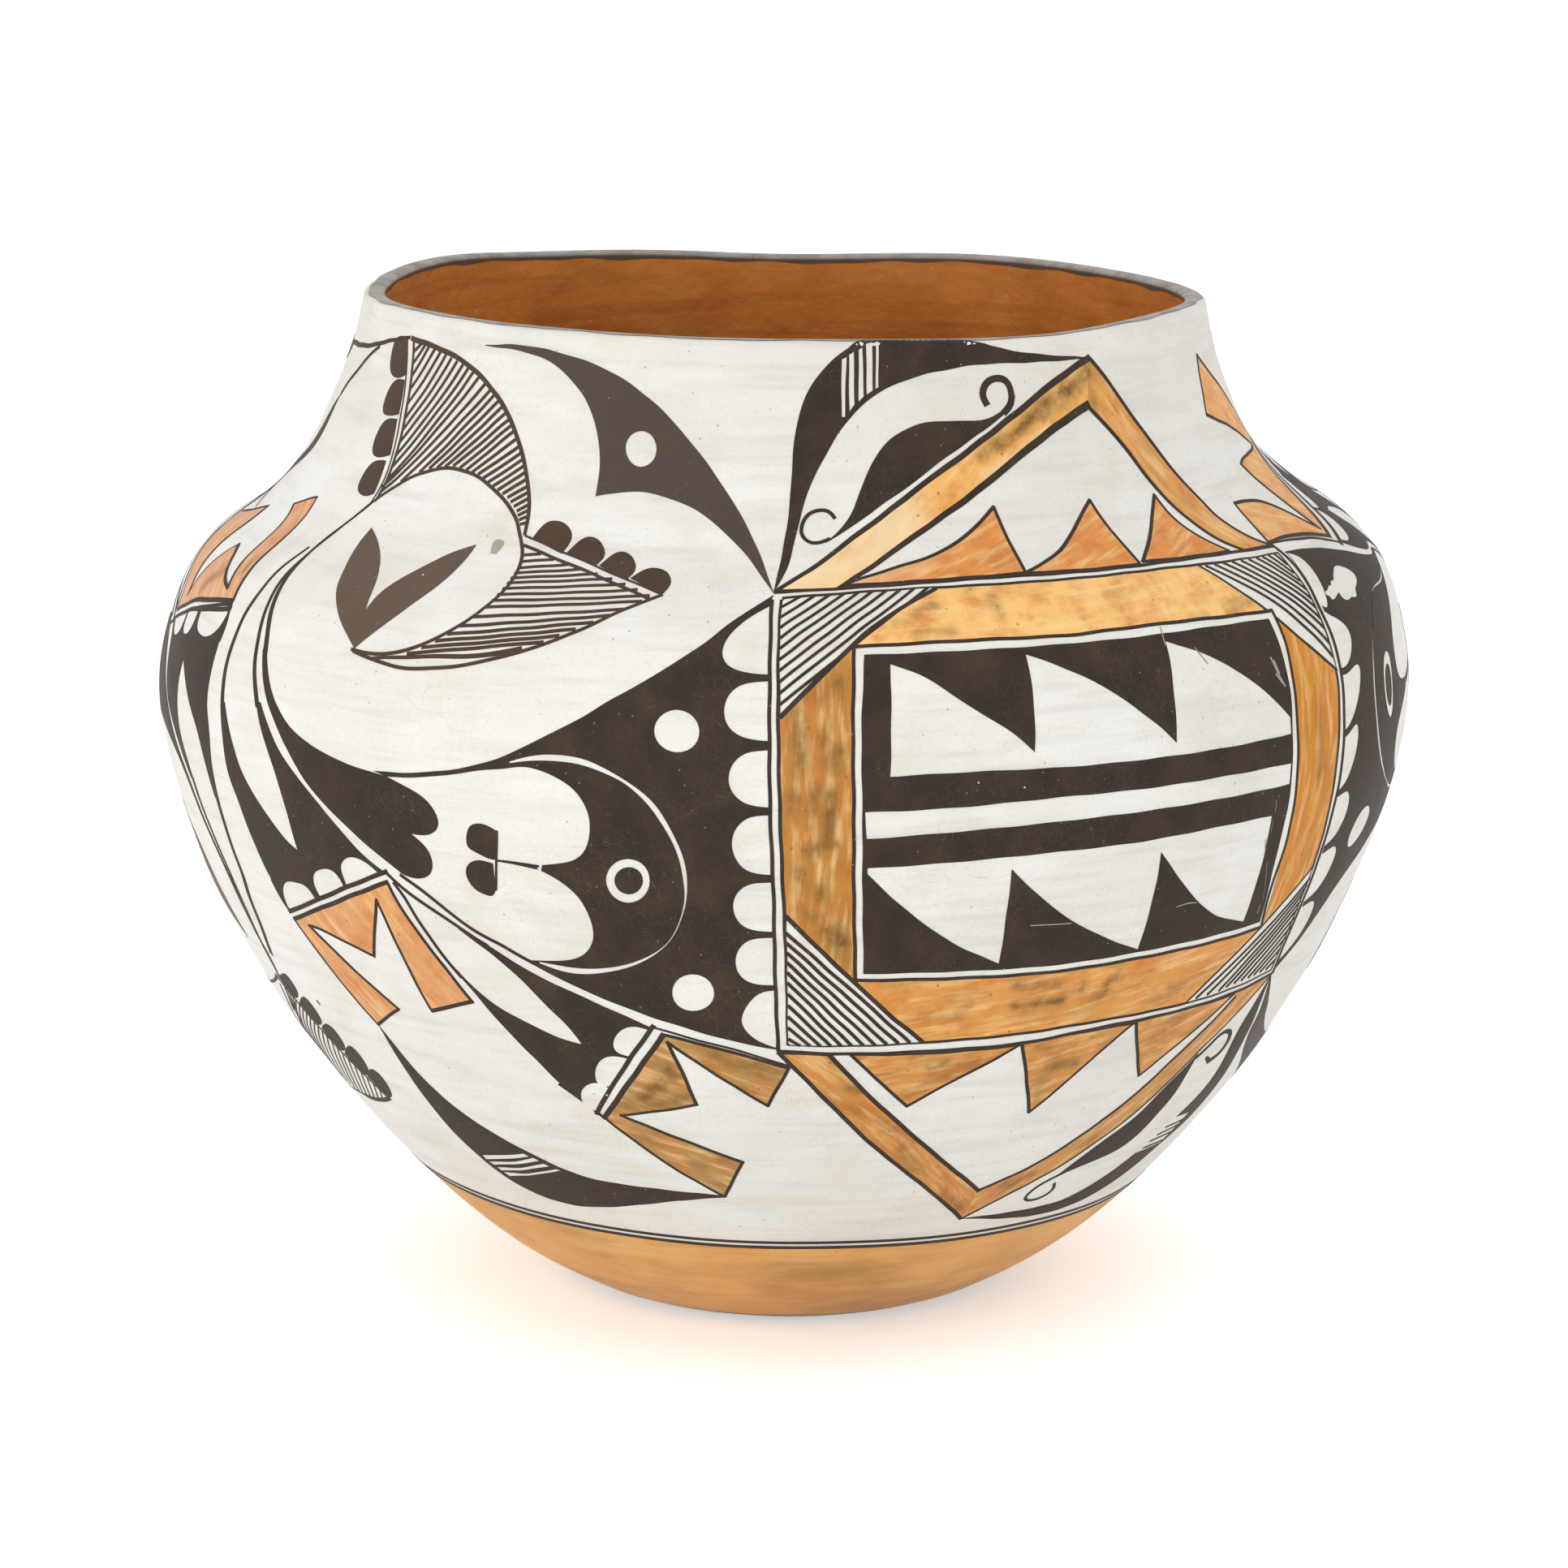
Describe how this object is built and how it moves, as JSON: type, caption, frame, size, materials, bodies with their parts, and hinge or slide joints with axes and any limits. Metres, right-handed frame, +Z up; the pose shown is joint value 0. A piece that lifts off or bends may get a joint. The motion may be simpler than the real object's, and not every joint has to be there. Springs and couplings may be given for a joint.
{
  "type": "pottery jar",
  "caption": "Wide-bellied coil-built pottery jar with a short sloping neck, open mouth and dimpled base, under white and orange slip with painted bands.",
  "frame": {"origin": "on the floor plane under the jar's axis", "axes": "+Z up along the jar's axis, -Y towards the viewer, +X to the viewer's right, on the low side of the rim"},
  "size_m": [0.3049, 0.305, 0.245],
  "materials": {
    "clay": "matte low-fired clay",
    "white_slip": "stone-polished satin",
    "underbody_slip": "streaky satin",
    "neck_slip": "streaky satin",
    "black_paint": "matte mineral paint",
    "orange_paint": "brushed matte slip paint"
  },
  "bodies": {
    "root": {"puki_base": "clay", "coil_01": "clay", "coil_02": "clay", "coil_03": "clay", "coil_04": "clay", "coil_05": "clay", "coil_06": "clay", "coil_07": "clay", "coil_08": "clay", "coil_09": "clay", "coil_10": "clay", "coil_11": "clay", "rim_coil": "clay", "white_slip": "white_slip", "underbody_slip": "underbody_slip", "neck_lining": "neck_slip"}
  },
  "joints": []
}
